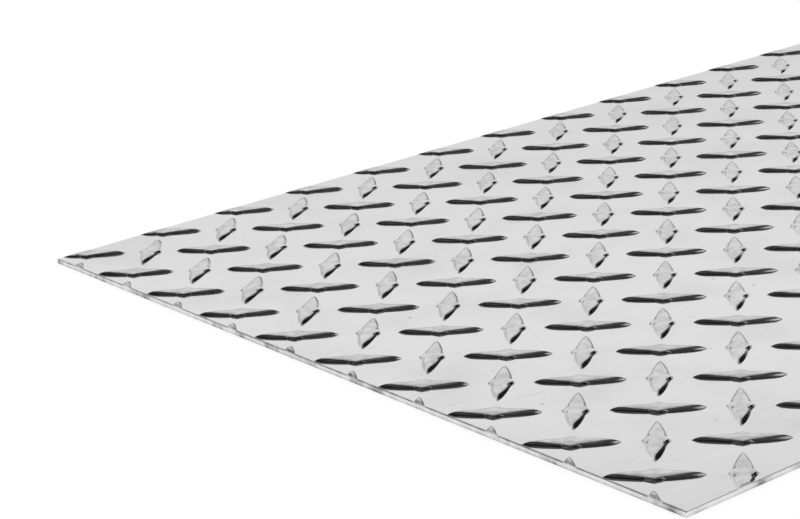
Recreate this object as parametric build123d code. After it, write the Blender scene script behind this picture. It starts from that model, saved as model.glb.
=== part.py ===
from build123d import *
import os

# A sheared rectangle of aluminium tread plate. It lies flat with its raised lugs up.
# The frame's origin is the centre of the underside, +X runs along the long side and +Z is up.
# All sizes are in millimetres.

# Sheet
sheet_length = 609.6
sheet_width = 304.8
sheet_thickness = 1.6

# Pattern: two sets of lugs at right angles, each on a square grid along the sheet's edges.
lug_pitch = 31.0
lug_angle = 45.0

# Lug: a long pointed body, with a small nub that stands out at the middle of each side.
lug_length = 26.0
lug_body_width = 5.8
lug_nub_width = 7.9
lug_nub_length = 4.2
lug_height = 0.92
lug_flank_width = 0.8

# Place of the rolled pattern on the sheet: from the sheared end and side to the nearest lug's centre.
first_lug_from_end = 9.7
first_lug_from_side = 4.8

# A sheared lug's offcut with less volume than this is not kept, in cubic millimetres.
least_offcut = 0.4


def lug_outline():
    """The lug's foot on the sheet, along X and centred on the origin."""
    tip = lug_length / 2
    shoulder = lug_nub_length / 2
    body = lug_body_width / 2
    nub = lug_nub_width / 2
    corners = [
        (tip, 0),
        (shoulder, body),
        (0, nub),
        (-shoulder, body),
        (-tip, 0),
        (-shoulder, -body),
        (0, -nub),
        (shoulder, -body),
    ]
    return make_face(Polyline(*corners, close=True))


def lug():
    """One lug on the plane Z = 0: a block whose top is chamfered all round down to that plane."""
    root = lug_height
    block = Pos(0, 0, -root) * extrude(lug_outline(), amount=root + lug_height)
    top = block.faces().sort_by(Axis.Z)[-1]
    sloped = chamfer(top.edges(), lug_flank_width, lug_height, reference=top)
    return split(sloped, bisect_by=Plane.XY, keep=Keep.TOP)


def grid_centres(shift):
    """Centres of one set of lugs that can reach the sheet, shifted along both edges."""
    reach = lug_length / 2
    columns = int((sheet_length + 2 * reach) / lug_pitch) + 2
    rows = int((sheet_width + 2 * reach) / lug_pitch) + 2
    centres = []
    for column in range(-1, columns):
        x = first_lug_from_end + shift + column * lug_pitch - sheet_length / 2
        for row in range(-1, rows):
            y = sheet_width / 2 - first_lug_from_side - shift - row * lug_pitch
            if abs(x) < sheet_length / 2 + reach and abs(y) < sheet_width / 2 + reach:
                centres.append((x, y))
    return centres


def sheared(placed_lug, blank):
    """What is left of a lug once the sheet's edges are cut, as a list of solids."""
    box = placed_lug.bounding_box()
    inside_x = max(-box.min.X, box.max.X) <= sheet_length / 2
    inside_y = max(-box.min.Y, box.max.Y) <= sheet_width / 2
    if inside_x and inside_y:
        return [placed_lug]
    kept = placed_lug & blank
    if kept is None:
        return []
    return [solid for solid in kept.solids() if solid.volume > least_offcut]


def all_lugs():
    """Both sets of lugs on the sheet's upper face, cut off at its edges."""
    on_ground = (Align.CENTER, Align.CENTER, Align.MIN)
    blank = Box(sheet_length, sheet_width, sheet_thickness + lug_height, align=on_ground)
    master = lug()
    lugs = []
    for shift, angle in ((0, -lug_angle), (lug_pitch / 2, lug_angle)):
        for x, y in grid_centres(shift):
            placed = Pos(x, y, sheet_thickness) * Rot(0, 0, angle) * master
            lugs.extend(sheared(placed, blank))
    return lugs


def tread_plate():
    """The whole plate, which is rolled in one piece with its lugs."""
    on_ground = (Align.CENTER, Align.CENTER, Align.MIN)
    sheet = Box(sheet_length, sheet_width, sheet_thickness, align=on_ground)
    return sheet.fuse(*all_lugs())


os.makedirs("parts", exist_ok=True)
export_step(tread_plate(), "parts/tread_plate.step")
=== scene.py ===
"""A sheared sheet of bright aluminium tread plate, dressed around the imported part, in a pale studio."""

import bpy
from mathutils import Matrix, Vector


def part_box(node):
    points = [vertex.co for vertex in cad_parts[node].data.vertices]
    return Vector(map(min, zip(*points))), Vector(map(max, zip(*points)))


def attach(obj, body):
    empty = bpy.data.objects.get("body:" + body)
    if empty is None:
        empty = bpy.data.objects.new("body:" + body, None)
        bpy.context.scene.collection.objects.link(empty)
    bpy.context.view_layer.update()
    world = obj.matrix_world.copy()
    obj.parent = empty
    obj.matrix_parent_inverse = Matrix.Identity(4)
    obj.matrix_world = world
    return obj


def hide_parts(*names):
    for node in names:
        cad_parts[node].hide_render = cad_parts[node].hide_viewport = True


bl_info = {
    "name": "Aluminium Tread Plate",
    "version": (1, 0, 0),
    "blender": (4, 5, 0),
    "location": "View3D > Sidebar > Tread Plate",
    "description": "Rolls, shears and finishes a sheet of tread plate and sets it in a pale studio",
    "category": "Object",
}

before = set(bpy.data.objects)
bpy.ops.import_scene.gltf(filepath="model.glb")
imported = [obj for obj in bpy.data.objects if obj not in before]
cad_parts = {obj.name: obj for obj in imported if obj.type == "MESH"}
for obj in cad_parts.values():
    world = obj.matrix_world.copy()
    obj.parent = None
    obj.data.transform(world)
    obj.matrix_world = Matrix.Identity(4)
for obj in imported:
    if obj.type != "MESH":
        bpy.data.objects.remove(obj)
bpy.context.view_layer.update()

import math
from collections import namedtuple

import bpy
import numpy as np
from mathutils import Matrix, Vector

NODE = "tread_plate"
BODY = "root"
PIECE = "rolled_tread_plate"
MM = 0.001
# Points nearer to each other than this are one point. Cuts tell apart points that are 100 times nearer.
HAIR = 5e-6
CUT_HAIR = HAIR / 100

# The body's cross-sections, as shares of half its length.
STATIONS = (0.0, 0.26, 0.5, 0.69, 0.82, 0.905, 0.965)
# This far from the middle the ridge reaches its full height.
RIDGE_TOP = 8.5 * MM
# The sides close at the tips by the square root of what this power of the way along leaves.
SIDE_POWER = 14
# Beyond the last cross-section the ridge falls to the tip with this power of the way.
TIP_POWER = 1.3
# The first point there lies this share of the way.
TIP_START = 0.25
# Rounding the ridge lowers the flanks, and this share of the rounding is added back.
RIDGE_LIFT = 0.3
# The crest is where the top meets the flank, and the points beside it lie this far from it.
CREST_BAND = 0.42 * MM
# Where there is less room, the inner point keeps these shares of the way from the ridge to the foot's
# hollow and to the crest, and the outer one stays between the last two shares of the way to the hollow.
INNER_LEAST = 0.16
INNER_LEAST_OF_CREST = 0.4
OUTER_LEAST = 0.6
OUTER_MOST = 0.84
# The body starts as a grid of points 1 m apart, at this height, clear of the points already in place.
GRID_HEIGHT = 5.0
# A point of the grid is picked by being this near to its place there.
GRID_REACH = 0.1

NUB_CORNERS = 8
# The rings of a nub, as shares of its width and of its height.
NUB_RINGS = ((0.975, 0.09), (0.895, 0.58), (0.85, 0.78), (0.76, 0.9), (0.5, 0.96))
# The root below the long body's foot is this deep. The nub's foot is flat, and has none.
LUG_ROOT = 0.3 * MM
# Both feet are sunk this far into the sheet, so that the lug unites with it.
LUG_SINK = 0.002 * MM
# A row of lugs has this many more than fit on the sheet, so that the pattern runs past both ends.
SPARE_LUGS = 3
# A sheared lug ends this far inside the sheet's edge.
SHEAR_STEP = 0.03 * MM
EDGE_SEGMENTS = 3
# Faces that meet at less than this angle are shaded as one curve.
SMOOTH_ANGLE = math.radians(50)

SENSOR_WIDTH_MM = 36
# The camera sees from the first to the second of these distances, in metres.
NEAREST_SEEN = 0.01
FARTHEST_SEEN = 100
FLOOR_RADIUS = 30
FLOOR_CORNERS = 96
WHITE = (1.0, 1.0, 1.0, 1.0)

# Noise that marks the metal: its scale and detail, the two values between which a mark fades in, and how
# much finer it is along each axis, where less than 1 draws the marks out.
Pattern = namedtuple("Pattern", "scale detail ends axes", defaults=((0.0, 1.0), (1.0, 1.0, 1.0)))
SMUDGES = Pattern(scale=30.0, detail=4.0, ends=(0.42, 0.72))
SPECKS = Pattern(scale=420.0, detail=1.0, ends=(0.72, 0.8))
SPECK_GROUPS = Pattern(scale=55.0, detail=1.0, ends=(0.5, 0.62))
GRAIN = Pattern(scale=900.0, detail=2.0, ends=(0.3, 0.7), axes=(0.03, 1.0, 1.0))
SCRATCH_GROUPS = Pattern(scale=38.0, detail=1.0, ends=(0.6, 0.68))
LUG_PATCHES = Pattern(scale=320.0, detail=5.0, ends=(0.35, 0.65))
EDGE_MARKS = Pattern(scale=120.0, detail=2.0, ends=(0.5, 0.68))
EDGE_STREAKS = Pattern(scale=260.0, detail=2.0, ends=(0.3, 0.7), axes=(1.0, 1.0, 0.2))
WAVES = Pattern(scale=26.0, detail=1.0)
# A scratch lies where this noise passes its average, and fades within these distances from it.
SCRATCHES = Pattern(scale=420.0, detail=0.0, ends=(0.0, 0.012), axes=(0.035, 1.0, 1.0))
NOISE_AVERAGE = 0.5
# The two directions of the scratches, and the turn of their groups from them, in radians.
SCRATCH_TURNS = (0.9, -0.35)
GROUP_TURN = 0.4
# The least of the lugs' dulling, and of the streaks in the edges' dulling, as shares of the most.
LUG_DULLING_LEAST = 0.3
STREAK_LEAST = 0.5

# The lugs' finish takes over between these heights above the top of the sheet.
LUG_FINISH_START, LUG_FINISH_END = 0.1 * MM, 0.4 * MM
# The marks of cut lugs fade in from this far below the top of the sheet to as far above it.
CUT_LUG_BAND = 0.2 * MM
# The sheared edges' finish fades between these two lengths of the upward or downward part of a face's normal.
EDGE_UPWARD = (0.25, 0.6)
# Between these shares of the sheet's thickness the darkened lower part of the sheared edge fades: partly its
# torn zone, partly painted shade where the edge meets the floor.
TEAR_AND_SHADE_START, TEAR_AND_SHADE_END = 0.12, 0.42
# Between these distances from the ends the painted shade on the rim that the shears pulled down fades.
RIM_SHADE_FADE = (0.3 * MM, 0.95 * MM)

# A round part of the studio's surroundings, in degrees, with its brightness where it has one.
RoundPart = namedtuple("RoundPart", "azimuth elevation radius softness strength", defaults=(1.0,))
# Unlit parts, which show as black strokes in the lugs.
DARK_PARTS = (
    RoundPart(azimuth=-1, elevation=27, radius=23, softness=4),
    RoundPart(azimuth=22, elevation=36, radius=10, softness=5),
    RoundPart(azimuth=145, elevation=58, radius=22, softness=6),
    RoundPart(azimuth=-95, elevation=60, radius=20, softness=6),
)
# Soft lights, which show in the lugs' flanks.
SOFTBOXES = (
    RoundPart(azimuth=-45, elevation=42, radius=14, softness=12, strength=0.25),
    RoundPart(azimuth=-60, elevation=80, radius=14, softness=12, strength=0.03),
    RoundPart(azimuth=-67, elevation=65, radius=5, softness=3, strength=0.5),
    RoundPart(azimuth=-49, elevation=60, radius=6, softness=4, strength=0.5),
    RoundPart(azimuth=140, elevation=70, radius=5, softness=4, strength=0.045),
    RoundPart(azimuth=59, elevation=78, radius=6, softness=4, strength=0.1),
    RoundPart(azimuth=18, elevation=78, radius=9, softness=6, strength=0.045),
    RoundPart(azimuth=125, elevation=69, radius=10, softness=6, strength=0.03),
)
# At the floor the walls give this share of their light. They brighten between these heights of a direction,
# which are sines of its elevation.
WALL_FOOT = 0.66
WALL_FOOT_RISE = (0.02, 0.42)
# The walls' first fade takes this share of their light. The last fade starts this much lower than where the
# first one ends, and takes the rest by this height.
FIRST_FADE = 0.7
LAST_FADE_LEAD = math.radians(4)
LAST_FADE_HEIGHT = 0.913


def length_value(name, description, default_mm):
    """A length for the sidebar, whose default is given here in millimetres."""
    return bpy.props.FloatProperty(
        name=name,
        description=description,
        default=default_mm * MM,
        precision=5,
        subtype="DISTANCE",
        unit="LENGTH",
    )


def angle_value(name, description, default_degrees):
    """An angle for the sidebar, whose default is given here in degrees."""
    return bpy.props.FloatProperty(
        name=name,
        description=description,
        default=math.radians(default_degrees),
        subtype="ANGLE",
        unit="ROTATION",
    )


def share_value(name, description, default):
    """A share for the sidebar."""
    return bpy.props.FloatProperty(
        name=name, description=description, default=default, precision=3, subtype="FACTOR"
    )


def plain_value(name, description, default):
    """A number of any kind for the sidebar."""
    return bpy.props.FloatProperty(name=name, description=description, default=default, precision=3)


def colour_value(name, description, default):
    """A colour for the sidebar."""
    return bpy.props.FloatVectorProperty(name=name, description=description, default=default, subtype="COLOR")


class TREADPLATE_PG_lug(bpy.types.PropertyGroup):
    """The shape of one raised lug, which lies along X while it is being made."""

    length: length_value("Length", "Tip to tip, where the lug meets the sheet", 26.0)
    width: length_value("Width", "Across the middle of the long body", 6.1)
    tip_width: length_value("Tip width", "To which the taper runs at the tips", 1.2)
    taper: share_value("Taper", "1 tapers in straight lines, and more bulges the sides", 1.57)
    height: length_value("Height", "The highest part of the ridge above the sheet", 0.92)
    middle_dip: share_value("Middle dip", "By this share the ridge is lower at the middle", 0.06)
    crown: share_value("Crown", "By this share the top falls from the ridge to the width's edge", 0.48)
    flank_slope: angle_value("Flank slope", "Of the sides and ends, from the sheet's face", 43)
    crest_blend: length_value("Crest blend", "Height over which the top rounds into the flanks", 0.25)
    ridge_round: length_value("Ridge round", "Keeps the ridge round where flanks meet near the tips", 0.15)
    foot_round: length_value("Foot round", "Width of the small hollow along the foot", 0.1)
    nub_width: length_value("Nub width", "Across both nubs, which stand out at the middle", 7.95)
    nub_length: length_value("Nub length", "Along the lug, at the middle", 6.6)
    nub_height: length_value("Nub height", "Above the sheet", 0.83)


class TREADPLATE_PG_plate(bpy.types.PropertyGroup):
    """The sheet and how its pattern lies on it."""

    thickness: length_value("Thickness", "The sheet between the lugs", 1.6)
    pitch: length_value("Lug pitch", "Between lugs of one direction, along both edges", 31.0)
    lug_turn: angle_value("Lug turn", "Each set of lugs lies at this angle to the long edge", 45)
    first_from_end: length_value("First lug from the end", "Sheared end to the nearest lug's centre", 9.7)
    first_from_side: length_value("First lug from the side", "Sheared side to the nearest lug's centre", 4.8)
    edge_round: length_value("Edge round", "Radius of the sheared edges, which the shears pulled down", 0.3)
    crush_slope: angle_value("Crush slope", "Lugs cut by the back side fall to the sheet at this angle", 20)


class TREADPLATE_PG_finish(bpy.types.PropertyGroup):
    """The bright rolled finish, with painted shade at the sheared edges' foot and on the ends' rim. Dulling
    and depths are how much less of the light is reflected.
    """

    metal: colour_value("Metal", "Bright aluminium", (0.908, 0.908, 0.908))
    sheet_roughness: share_value("Sheet roughness", "The rolled flats between the lugs", 0.1)
    smudge_roughness: share_value("Smudge roughness", "Added to the flats under a smudge", 0.05)
    lug_roughness: share_value("Lug roughness", "The lugs, which the roll polishes less", 0.12)
    edge_roughness: share_value("Edge roughness", "The sheared edges", 0.22)
    lug_dulling: share_value("Lug dulling", "The lugs against the flats, in patches", 0.255)
    smudge_depth: share_value("Smudge depth", "Darkest smudges from handling", 0.05)
    speck_depth: share_value("Speck depth", "Darkest specks", 0.35)
    scratch_depth: share_value("Scratch depth", "Darkest hairline scratches", 0.16)
    grain_depth: share_value("Grain depth", "Darkest lines of the rolling grain", 0.015)
    edge_dulling: share_value("Edge dulling", "The sheared edges against the flats", 0.26)
    mark_depth: share_value("Mark depth", "Marks along the sheared edges and on the lugs cut there", 0.4)
    # Tear depth darkens the lower part of the sheared edges: partly the torn zone, partly painted shade where
    # they meet the floor.
    tear_and_foot_shade_depth: share_value("Tear depth", "The torn lower part of the sheared edges", 0.42)
    # Rim depth is painted shade on the rounded rim at the ends.
    rim_shade_depth: share_value("Rim depth", "The rim that the shears pulled down at the ends", 0.65)
    waviness: length_value("Waviness", "Height of the sheet's faint waves", 0.02)


class TREADPLATE_PG_studio(bpy.types.PropertyGroup):
    """The pale studio and the camera."""

    floor: colour_value("Floor", "The pale floor", (0.25, 0.25, 0.25))
    floor_glow: share_value("Floor glow", "Light that comes up through the floor", 0.76)
    floor_light: share_value("Floor light", "The even light on the floor and behind it", 1.03)
    wall_light: share_value("Wall light", "How bright the surrounding walls look in the metal", 0.855)
    ceiling_light: share_value("Ceiling light", "How bright the ceiling looks in the metal", 0.012)
    wall_fade: angle_value("Wall fade", "Elevation from which the bright walls fade", 18)
    wall_top: angle_value("Wall top", "Elevation at which they have mostly faded", 44)
    camera_azimuth: angle_value("Camera azimuth", "Round the plate, from the front of its long side", -36.155)
    camera_elevation: angle_value("Camera elevation", "Above the horizon", 18.14)
    camera_roll: angle_value("Camera roll", "The right side of the view dips by this much", 5.002)
    camera_distance: length_value("Camera distance", "To the point that it looks at", 745.0)
    look_at_x: length_value("Look-at from the left end", "Along the long edge, to the view's middle", 74.652)
    look_at_y: length_value("Look-at from the back", "Along the short edge, to the view's middle", 96.002)
    lens: plain_value("Lens", "Focal length in millimetres, for a sensor 36 mm wide", 102.166)


def start_fresh():
    """Object mode with nothing selected, because every operator acts on all that is selected."""
    if bpy.context.object is not None and bpy.context.object.mode != "OBJECT":
        bpy.ops.object.mode_set(mode="OBJECT")
    bpy.ops.object.select_all(action="DESELECT")


def make_active(piece):
    """Selects one piece alone and makes it the active one."""
    start_fresh()
    piece.select_set(True)
    bpy.context.view_layer.objects.active = piece


def pick_points(wanted):
    """In edit mode, selects the points of the active piece that wanted(x, y, z) picks, given all of them."""
    bpy.ops.mesh.select_mode(type="VERT")
    bpy.ops.mesh.select_all(action="DESELECT")
    bpy.ops.object.mode_set(mode="OBJECT")
    mesh = bpy.context.object.data
    places = np.empty(len(mesh.vertices) * 3, np.float32)
    mesh.vertices.foreach_get("co", places)
    mesh.vertices.foreach_set("select", wanted(*places.reshape(-1, 3).T))
    bpy.ops.object.mode_set(mode="EDIT")


def apply_modifiers(piece):
    """Applies every modifier of a piece, in order."""
    make_active(piece)
    for modifier in list(piece.modifiers):
        bpy.ops.object.modifier_apply(modifier=modifier.name)


def copy_of(piece, name):
    """A copy of a piece with a mesh of its own."""
    make_active(piece)
    bpy.ops.object.duplicate(linked=False)
    copy = bpy.context.object
    copy.name = name
    return copy


def unite(piece, other):
    """Unites another closed piece with this one and removes the other."""
    union = piece.modifiers.new("union", "BOOLEAN")
    union.operation = "UNION"
    union.solver = "MANIFOLD"
    union.object = other
    apply_modifiers(piece)
    bpy.data.objects.remove(other)


def smooth_lower(first, second, blend):
    """The lower of two heights, with the corner between them rounded over a blend of heights."""
    near = max(blend - abs(first - second), 0.0) / blend
    return min(first, second) - near * near * blend / 4


def half_width(lug, along):
    """Half the body's width at the foot, at a distance along the lug from its middle."""
    share = along / (lug.length / 2)
    tapered = lug.tip_width / 2 + (lug.width - lug.tip_width) / 2 * (1 - share**lug.taper)
    return tapered * math.sqrt(max(1 - share**SIDE_POWER, 0.0))


def section_points(lug, along):
    """Half a cross-section of the body, from the ridge down to the foot, as (across, height) pairs."""
    foot = half_width(lug, along)
    narrowing = (half_width(lug, along + HAIR) - half_width(lug, along - HAIR)) / (2 * HAIR) if along else 0.0
    slope = math.tan(lug.flank_slope) / math.sqrt(1 + narrowing**2)
    ridge = lug.height * (1 - lug.middle_dip * max(1 - along / RIDGE_TOP, 0.0))
    curve = ridge * lug.crown / (lug.width / 2) ** 2

    def height_at(across):
        flank = slope * (foot - math.hypot(across, lug.ridge_round) + RIDGE_LIFT * lug.ridge_round)
        return smooth_lower(ridge - curve * across**2, flank, lug.crest_blend)

    spread = slope**2 - 4 * curve * (slope * foot - ridge)
    crest = max((slope - math.sqrt(max(spread, 0.0))) / (2 * curve), 0.0)
    hollow = foot - lug.foot_round
    inner = max(crest - CREST_BAND, hollow * INNER_LEAST, crest * INNER_LEAST_OF_CREST)
    outer = max(min(crest + CREST_BAND, hollow * OUTER_MOST), hollow * OUTER_LEAST)
    middle = max(crest, (inner + outer) / 2)
    points = [(across, height_at(across)) for across in (0.0, inner, middle, outer, hollow)]
    return points + [(foot, 0.0)]


def tip_points(lug, last_ridge, count):
    """The points along the ridge's line from beyond the last cross-section to the tip."""
    end = lug.length / 2
    shares = [TIP_START + (1 - TIP_START) * row / (count - 1) for row in range(count)]
    return [
        (last_ridge[0] + (end - last_ridge[0]) * share, 0.0, last_ridge[2] * (1 - share**TIP_POWER))
        for share in shares
    ]


def move_point(wanted, step):
    """In edit mode, moves the points that are picked."""
    pick_points(wanted)
    bpy.ops.transform.translate(value=step)


def close_below():
    """In edit mode, extrudes the open foot of the active piece down into the sheet, and fills the hole."""
    bpy.ops.mesh.select_all(action="DESELECT")
    bpy.ops.mesh.select_non_manifold(
        extend=False, use_wire=False, use_multi_face=False, use_non_contiguous=False
    )
    bpy.ops.mesh.extrude_region_move(TRANSFORM_OT_translate={"value": (0, 0, -LUG_ROOT)})
    bpy.ops.mesh.edge_face_add()


def face_outwards():
    """Turns all faces of the closed active piece outwards, and leaves edit mode."""
    bpy.ops.mesh.select_all(action="SELECT")
    bpy.ops.mesh.normals_make_consistent(inside=False)
    bpy.ops.object.mode_set(mode="OBJECT")


def model_body(lug):
    """Models the lug's long body: a quarter of it point by point from a spread-out grid, then mirrored."""
    stations = [share * lug.length / 2 for share in STATIONS]
    sections = [[(along, *point) for point in section_points(lug, along)] for along in stations]
    rows = len(sections[0])
    sections.append(tip_points(lug, sections[-1][0], rows))
    columns = len(sections)

    start_fresh()
    bpy.ops.mesh.primitive_grid_add(x_subdivisions=columns - 1, y_subdivisions=rows - 1, size=1)
    body = bpy.context.object
    body.name = "lug"
    bpy.ops.object.mode_set(mode="EDIT")
    bpy.ops.transform.resize(value=(columns - 1, rows - 1, 1), center_override=(0, 0, 0))
    bpy.ops.transform.translate(value=((columns - 1) / 2, (rows - 1) / 2, GRID_HEIGHT))
    for column, section in enumerate(sections):
        for row, point in enumerate(section):
            move_point(
                lambda x, y, z: (z > GRID_HEIGHT / 2)
                & (abs(x - column) < GRID_REACH)
                & (abs(y - row) < GRID_REACH),
                (point[0] - column, point[1] - row, point[2] - GRID_HEIGHT),
            )
    bpy.ops.object.mode_set(mode="OBJECT")

    mirror = body.modifiers.new("other three quarters", "MIRROR")
    mirror.use_axis = (True, True, False)
    mirror.use_mirror_merge = True
    mirror.merge_threshold = HAIR
    apply_modifiers(body)
    bpy.ops.object.mode_set(mode="EDIT")
    bpy.ops.mesh.select_all(action="SELECT")
    bpy.ops.mesh.remove_doubles(threshold=HAIR)
    close_below()
    face_outwards()
    return body


def model_nub(lug):
    """Models the low bump that crosses the lug's middle and stands out as a nub on both sides."""
    start_fresh()
    bpy.ops.mesh.primitive_circle_add(vertices=NUB_CORNERS, radius=lug.nub_width / 2, fill_type="NGON")
    nub = bpy.context.object
    bpy.ops.object.mode_set(mode="EDIT")
    bpy.ops.mesh.select_all(action="SELECT")
    bpy.ops.transform.resize(value=(lug.nub_length / lug.nub_width, 1, 1), center_override=(0, 0, 0))
    last_share, last_height = 1.0, 0.0
    for share, level in NUB_RINGS:
        height = level * lug.nub_height
        bpy.ops.mesh.extrude_region_move(TRANSFORM_OT_translate={"value": (0, 0, height - last_height)})
        grow = share / last_share
        bpy.ops.transform.resize(value=(grow, grow, 1), center_override=(0, 0, 0))
        last_share, last_height = share, height
    face_outwards()
    return nub


def model_lug(lug):
    """Models one closed lug around the origin, on the plane Z = 0."""
    body = model_body(lug)
    unite(body, model_nub(lug))
    return body


def cut_away(plane_co, plane_no):
    """In edit mode, cuts the active piece along a plane and drops what lies in front of it."""
    bpy.ops.mesh.select_all(action="SELECT")
    bpy.ops.mesh.bisect(
        plane_co=plane_co, plane_no=plane_no, use_fill=True, clear_outer=True, threshold=CUT_HAIR
    )


def lug_field(lug_piece, plate, shift, turn, name):
    """One set of lugs, all in one direction, on a square grid that runs past every edge, then sheared."""
    low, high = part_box(NODE)
    field = copy_of(lug_piece, name)
    field.rotation_euler = (0, 0, turn)
    field.location = (
        low.x + plate.first_from_end + shift - plate.pitch,
        high.y - plate.first_from_side - shift + plate.pitch,
        plate.thickness - LUG_SINK,
    )
    bpy.ops.object.transform_apply(location=True, rotation=True, scale=True)
    for axis, extent, direction in ((0, high.x - low.x, 1), (1, high.y - low.y, -1)):
        row = field.modifiers.new("row", "ARRAY")
        row.use_relative_offset = False
        row.use_constant_offset = True
        offset = [0, 0, 0]
        offset[axis] = direction * plate.pitch
        row.constant_offset_displace = offset
        row.count = int(extent / plate.pitch) + SPARE_LUGS
    apply_modifiers(field)

    bpy.ops.object.mode_set(mode="EDIT")
    for axis in (0, 1):
        for corner, side in ((high, 1), (low, -1)):
            outward = [0, 0, 0]
            outward[axis] = side
            cut_away(corner - SHEAR_STEP * Vector(outward), outward)
    cut_away((0, high.y, plate.thickness), (0, math.sin(plate.crush_slope), math.cos(plate.crush_slope)))
    bpy.ops.object.mode_set(mode="OBJECT")
    return field


def rolled_sheet(plate):
    """The plain sheet at its real size, with its sheared edges slightly rounded."""
    low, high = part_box(NODE)
    size = Vector((high.x - low.x, high.y - low.y, plate.thickness))
    start_fresh()
    bpy.ops.mesh.primitive_cube_add(size=1, location=(0, 0, plate.thickness / 2), scale=size)
    sheet = bpy.context.object
    sheet.name = PIECE
    bpy.ops.object.transform_apply(location=True, rotation=True, scale=True)
    bpy.ops.object.mode_set(mode="EDIT")
    bpy.ops.mesh.select_all(action="SELECT")
    bpy.ops.mesh.bevel(offset=plate.edge_round, segments=EDGE_SEGMENTS, affect="EDGES")
    bpy.ops.object.mode_set(mode="OBJECT")
    return sheet


def shade_as_rolled(sheet):
    """Shades the lugs' faces as curves, and keeps the large flats flat."""
    make_active(sheet)
    bpy.ops.object.shade_smooth_by_angle(angle=SMOOTH_ANGLE)
    weigh = sheet.modifiers.new("flat faces lead", "WEIGHTED_NORMAL")
    weigh.mode = "FACE_AREA"
    weigh.keep_sharp = True
    apply_modifiers(sheet)


class TREADPLATE_OT_roll_plate(bpy.types.Operator):
    """Models one lug, lays it out in two crossed sets, shears them and unites them with the sheet"""

    bl_idname = "treadplate.roll_plate"
    bl_label = "Roll Tread Plate"

    def execute(self, context):
        plate = context.scene.treadplate_plate
        lug_piece = model_lug(context.scene.treadplate_lug)
        sheet = rolled_sheet(plate)
        falling = lug_field(lug_piece, plate, 0, -plate.lug_turn, "falling_lugs")
        rising = lug_field(lug_piece, plate, plate.pitch / 2, plate.lug_turn, "rising_lugs")
        unite(sheet, falling)
        unite(sheet, rising)
        bpy.data.objects.remove(lug_piece)

        shade_as_rolled(sheet)
        sheet.data.materials.clear()
        sheet.data.materials.append(bright_rolled_finish(context.scene.treadplate_finish, plate))
        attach(sheet, BODY)
        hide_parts(NODE)
        return {"FINISHED"}


def add_node(tree, kind, inputs=None, **settings):
    """Adds a node, gives its named settings, and fills or links its inputs."""
    node = tree.nodes.new(kind)
    for name, value in settings.items():
        setattr(node, name, value)
    for name, value in (inputs or {}).items():
        if isinstance(value, bpy.types.NodeSocket):
            tree.links.new(value, node.inputs[name])
        else:
            node.inputs[name].default_value = value
    return node


def add_math(tree, operation, first, second=0.0):
    """Adds a Math node and returns its result."""
    return add_node(tree, "ShaderNodeMath", {0: first, 1: second}, operation=operation).outputs[0]


def add_less(tree, value, mask, depth):
    """A value lowered by a depth where a mask is 1."""
    return add_math(tree, "SUBTRACT", value, add_math(tree, "MULTIPLY", mask, depth))


def add_range(tree, value, ends, results=(0.0, 1.0)):
    """Leads smoothly from the first result to the second as a value goes from one end to the other."""
    node = add_node(
        tree,
        "ShaderNodeMapRange",
        {
            "Value": value,
            "From Min": ends[0],
            "From Max": ends[1],
            "To Min": results[0],
            "To Max": results[1],
        },
        interpolation_type="SMOOTHSTEP",
    )
    return node.outputs["Result"]


def add_noise(tree, place, pattern, turn=0.0):
    """The plain noise of a pattern, in the plate's own space."""
    mapped = add_node(
        tree,
        "ShaderNodeMapping",
        {"Vector": place, "Rotation": (0.0, 0.0, turn), "Scale": pattern.axes},
    ).outputs["Vector"]
    node = add_node(
        tree, "ShaderNodeTexNoise", {"Vector": mapped, "Scale": pattern.scale, "Detail": pattern.detail}
    )
    return node.outputs["Fac"]


def add_pattern(tree, place, pattern, results=(0.0, 1.0), turn=0.0):
    """A pattern of the finish, from the first result where it has no mark to the second where it has."""
    return add_range(tree, add_noise(tree, place, pattern, turn), pattern.ends, results)


def add_scratches(tree, place, turn, depth):
    """Hairline scratches along one direction: thin dark lines, each broken off after a short way."""
    from_average = add_math(tree, "SUBTRACT", add_noise(tree, place, SCRATCHES, turn), NOISE_AVERAGE)
    thin = add_range(tree, add_math(tree, "ABSOLUTE", from_average), SCRATCHES.ends, (1.0, 0.0))
    groups = add_pattern(tree, place, SCRATCH_GROUPS, turn=turn + GROUP_TURN)
    return add_math(tree, "MULTIPLY", add_math(tree, "MULTIPLY", thin, groups), depth)


def shade_of_flats(tree, place, finish):
    """How much of the light the flats reflect, and where they are smudged."""
    smudges = add_pattern(tree, place, SMUDGES)
    specks = add_math(
        tree, "MULTIPLY", add_pattern(tree, place, SPECKS), add_pattern(tree, place, SPECK_GROUPS)
    )
    scratches = [add_scratches(tree, place, turn, finish.scratch_depth) for turn in SCRATCH_TURNS]
    shade = add_less(tree, 1.0, smudges, finish.smudge_depth)
    shade = add_less(tree, shade, specks, finish.speck_depth)
    shade = add_math(tree, "SUBTRACT", shade, add_math(tree, "MAXIMUM", *scratches))
    grain = add_pattern(tree, place, GRAIN, (0.0, finish.grain_depth))
    return add_math(tree, "SUBTRACT", shade, grain), smudges


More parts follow.
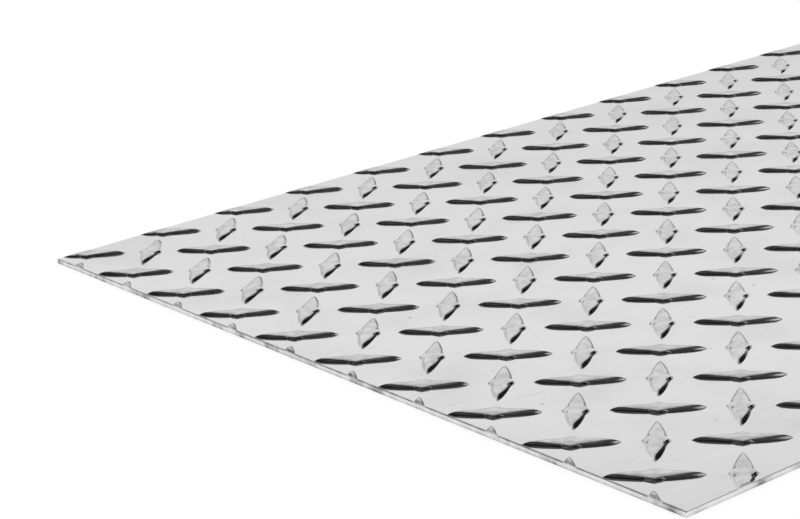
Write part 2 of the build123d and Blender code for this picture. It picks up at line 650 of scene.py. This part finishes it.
def shade_of_edges(tree, shade, place, height, on_edge, finish, plate):
    """Lowers a shade on the sheared edges, where the shears marked and tore them, with painted shade at their
    foot, and puts painted shade along the ends' rim.
    """
    along = add_node(tree, "ShaderNodeSeparateXYZ", {"Vector": place}).outputs["X"]
    cut_lugs = add_range(tree, height, (plate.thickness - CUT_LUG_BAND, plate.thickness + CUT_LUG_BAND))
    marks = add_math(tree, "MAXIMUM", add_pattern(tree, place, EDGE_MARKS), cut_lugs)
    marks = add_math(tree, "MULTIPLY", marks, on_edge)
    # The lower part of the sheared edges is darkened: partly their torn zone, partly painted shade where they
    # meet the floor.
    tear_and_shade_ends = (plate.thickness * TEAR_AND_SHADE_START, plate.thickness * TEAR_AND_SHADE_END)
    torn = add_math(tree, "MULTIPLY", on_edge, add_range(tree, height, tear_and_shade_ends, (1.0, 0.0)))
    # The rounded rim at the ends, and the top beside it, are darkened with painted shade.
    end_distance = add_math(tree, "SUBTRACT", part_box(NODE)[1].x, add_math(tree, "ABSOLUTE", along))
    off_edge = add_math(tree, "SUBTRACT", 1.0, on_edge)
    rim = add_math(tree, "MULTIPLY", add_range(tree, end_distance, RIM_SHADE_FADE, (1.0, 0.0)), off_edge)
    streaks = add_pattern(tree, place, EDGE_STREAKS, (STREAK_LEAST, 1.0))
    for mask, depth in (
        (on_edge, finish.edge_dulling),
        (marks, finish.mark_depth),
        (torn, finish.tear_and_foot_shade_depth),
        (rim, finish.rim_shade_depth),
    ):
        shade = add_less(tree, shade, add_math(tree, "MULTIPLY", mask, streaks), depth)
    return shade


def bright_rolled_finish(finish, plate):
    """Bright rolled aluminium: mirror-like flats, duller lugs and edges, faint smudges and scratches, and
    painted shade at the edges' foot and on the ends' rim.
    """
    material = bpy.data.materials.new("bright rolled aluminium")
    material.use_nodes = True
    tree = material.node_tree
    shader = tree.nodes["Principled BSDF"]
    shader.inputs["Metallic"].default_value = 1.0
    coordinates = add_node(tree, "ShaderNodeTexCoord")
    place = coordinates.outputs["Object"]
    height = add_node(tree, "ShaderNodeSeparateXYZ", {"Vector": place}).outputs["Z"]
    upward = add_node(tree, "ShaderNodeSeparateXYZ", {"Vector": coordinates.outputs["Normal"]}).outputs["Z"]
    lug_heights = (plate.thickness + LUG_FINISH_START, plate.thickness + LUG_FINISH_END)
    on_lug = add_range(tree, height, lug_heights)
    on_edge = add_range(tree, add_math(tree, "ABSOLUTE", upward), EDGE_UPWARD, (1.0, 0.0))

    shade, smudges = shade_of_flats(tree, place, finish)
    lug_dulling = (finish.lug_dulling * LUG_DULLING_LEAST, finish.lug_dulling)
    shade = add_less(tree, shade, on_lug, add_pattern(tree, place, LUG_PATCHES, lug_dulling))
    shade = shade_of_edges(tree, shade, place, height, on_edge, finish, plate)
    colour = add_node(
        tree, "ShaderNodeVectorMath", {0: tuple(finish.metal), "Scale": shade}, operation="SCALE"
    )
    tree.links.new(colour.outputs["Vector"], shader.inputs["Base Color"])

    smudged = finish.sheet_roughness + finish.smudge_roughness
    roughness = add_range(tree, smudges, (0.0, 1.0), (finish.sheet_roughness, smudged))
    for mask, full in ((on_lug, finish.lug_roughness), (on_edge, finish.edge_roughness)):
        kept = add_math(tree, "MULTIPLY", roughness, add_math(tree, "SUBTRACT", 1.0, mask))
        roughness = add_math(tree, "ADD", kept, add_math(tree, "MULTIPLY", mask, full))
    tree.links.new(roughness, shader.inputs["Roughness"])

    waves = add_noise(tree, place, WAVES)
    bump = add_node(
        tree, "ShaderNodeBump", {"Height": waves, "Distance": finish.waviness, "Strength": 1.0}
    )
    tree.links.new(bump.outputs["Normal"], shader.inputs["Normal"])
    return material


def direction_to(azimuth, elevation):
    """A unit vector at an azimuth from +X towards +Y, and an elevation above the floor."""
    level = math.cos(elevation)
    return Vector((level * math.cos(azimuth), level * math.sin(azimuth), math.sin(elevation)))


def add_round_part(tree, direction, part):
    """1 inside a round part of the surroundings and 0 outside it, with a soft rim."""
    middle = direction_to(math.radians(part.azimuth), math.radians(part.elevation))
    facing = add_node(
        tree, "ShaderNodeVectorMath", {0: direction, 1: middle}, operation="DOT_PRODUCT"
    ).outputs["Value"]
    rim = [math.cos(math.radians(part.radius + step)) for step in (part.softness, -part.softness)]
    return add_range(tree, facing, rim)


def add_surroundings(tree, direction, studio):
    """The studio that the metal shows: bright walls below a dark ceiling, unlit parts and soft lights."""
    height = add_node(tree, "ShaderNodeSeparateXYZ", {"Vector": direction}).outputs["Z"]
    wall_lights = (studio.wall_light * WALL_FOOT, studio.wall_light)
    wall = add_range(tree, height, WALL_FOOT_RISE, wall_lights)
    first_ends = (math.sin(studio.wall_fade), math.sin(studio.wall_top))
    first_fade = add_range(tree, height, first_ends, (0.0, FIRST_FADE))
    last_ends = (math.sin(studio.wall_top - LAST_FADE_LEAD), LAST_FADE_HEIGHT)
    last_fade = add_range(tree, height, last_ends, (0.0, 1 - FIRST_FADE))
    dark = add_math(tree, "ADD", first_fade, last_fade)
    for part in DARK_PARTS:
        dark = add_math(tree, "MAXIMUM", dark, add_round_part(tree, direction, part))
    lit = add_math(tree, "MULTIPLY", wall, add_math(tree, "SUBTRACT", 1.0, dark))
    surroundings = add_math(tree, "ADD", lit, add_math(tree, "MULTIPLY", dark, studio.ceiling_light))
    for part in SOFTBOXES:
        light = add_math(tree, "MULTIPLY", add_round_part(tree, direction, part), part.strength)
        surroundings = add_math(tree, "ADD", surroundings, light)
    return surroundings


def studio_world(studio):
    """A world that lights the floor evenly, looks white to the camera and shows a studio in the metal."""
    world = bpy.data.worlds.new("pale studio")
    bpy.context.scene.world = world
    world.use_nodes = True
    world.cycles.sampling_method = "NONE"
    tree = world.node_tree
    background = tree.nodes["Background"]
    direction = add_node(tree, "ShaderNodeTexCoord").outputs["Generated"]
    surroundings = add_surroundings(tree, direction, studio)

    path = add_node(tree, "ShaderNodeLightPath").outputs
    reflected = add_math(tree, "MAXIMUM", path["Is Glossy Ray"], path["Is Transmission Ray"])
    direct = add_math(tree, "SUBTRACT", 1.0, reflected)
    plain = add_math(tree, "MULTIPLY", direct, studio.floor_light)
    seen = add_math(tree, "MULTIPLY", surroundings, reflected)
    tree.links.new(add_math(tree, "ADD", seen, plain), background.inputs["Strength"])
    background.inputs["Color"].default_value = WHITE


def pale_floor(studio):
    """A wide plain floor, level with the plate's underside."""
    start_fresh()
    bpy.ops.mesh.primitive_circle_add(vertices=FLOOR_CORNERS, radius=FLOOR_RADIUS, fill_type="NGON")
    floor = bpy.context.object
    floor.name = "floor"
    material = bpy.data.materials.new("pale floor")
    material.use_nodes = True
    shader = material.node_tree.nodes["Principled BSDF"]
    shader.inputs["Base Color"].default_value = (*studio.floor, 1.0)
    shader.inputs["Emission Color"].default_value = WHITE
    shader.inputs["Emission Strength"].default_value = studio.floor_glow
    shader.inputs["Roughness"].default_value = 1.0
    shader.inputs["Specular IOR Level"].default_value = 0.0
    floor.data.materials.append(material)


def add_camera(studio, plate):
    """The camera at the photograph's viewing angle."""
    low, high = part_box(NODE)
    target = Vector((low.x + studio.look_at_x, high.y - studio.look_at_y, plate.thickness))
    back = direction_to(studio.camera_azimuth - math.pi / 2, studio.camera_elevation)
    aim = (-back).to_track_quat("-Z", "Y").to_matrix().to_4x4()
    roll = Matrix.Rotation(-studio.camera_roll, 4, "Z")
    start_fresh()
    bpy.ops.object.camera_add()
    camera = bpy.context.object
    camera.matrix_world = Matrix.Translation(target + back * studio.camera_distance) @ aim @ roll
    camera.data.sensor_width = SENSOR_WIDTH_MM
    camera.data.lens = studio.lens
    camera.data.clip_start = NEAREST_SEEN
    camera.data.clip_end = FARTHEST_SEEN
    bpy.context.scene.camera = camera


class TREADPLATE_OT_set_stage(bpy.types.Operator):
    """Lays the pale floor, lights the studio and places the camera"""

    bl_idname = "treadplate.set_stage"
    bl_label = "Set Stage"

    def execute(self, context):
        studio = context.scene.treadplate_studio
        pale_floor(studio)
        studio_world(studio)
        add_camera(studio, context.scene.treadplate_plate)
        context.scene.view_settings.view_transform = "Standard"
        return {"FINISHED"}


class TREADPLATE_PT_panel(bpy.types.Panel):
    """Lists the plate's sizes, finish and studio, and the operators that make them"""

    bl_idname = "TREADPLATE_PT_panel"
    bl_label = "Tread Plate"
    bl_space_type = "VIEW_3D"
    bl_region_type = "UI"
    bl_category = "Tread Plate"

    def draw(self, context):
        layout = self.layout
        for operator in (TREADPLATE_OT_roll_plate, TREADPLATE_OT_set_stage):
            layout.operator(operator.bl_idname)
        for title, (name, _) in SETTINGS.items():
            group = getattr(context.scene, name)
            box = layout.box()
            box.label(text=title)
            for setting in group.__annotations__:
                box.prop(group, setting)


# The groups of settings: the sidebar's title, the scene's attribute and the group's class.
SETTINGS = {
    "Lug": ("treadplate_lug", TREADPLATE_PG_lug),
    "Plate": ("treadplate_plate", TREADPLATE_PG_plate),
    "Finish": ("treadplate_finish", TREADPLATE_PG_finish),
    "Studio": ("treadplate_studio", TREADPLATE_PG_studio),
}

CLASSES = (
    TREADPLATE_PG_lug,
    TREADPLATE_PG_plate,
    TREADPLATE_PG_finish,
    TREADPLATE_PG_studio,
    TREADPLATE_OT_roll_plate,
    TREADPLATE_OT_set_stage,
    TREADPLATE_PT_panel,
)


def register():
    """Registers the classes and gives the scene its settings."""
    for each in CLASSES:
        bpy.utils.register_class(each)
    for name, group in SETTINGS.values():
        setattr(bpy.types.Scene, name, bpy.props.PointerProperty(type=group))


def unregister():
    """Takes the settings and the classes out again."""
    for name, _ in SETTINGS.values():
        delattr(bpy.types.Scene, name)
    for each in reversed(CLASSES):
        bpy.utils.unregister_class(each)


def main():
    """Makes the plate and its stage."""
    register()
    bpy.ops.treadplate.roll_plate()
    bpy.ops.treadplate.set_stage()


if __name__ == "__main__":
    main()
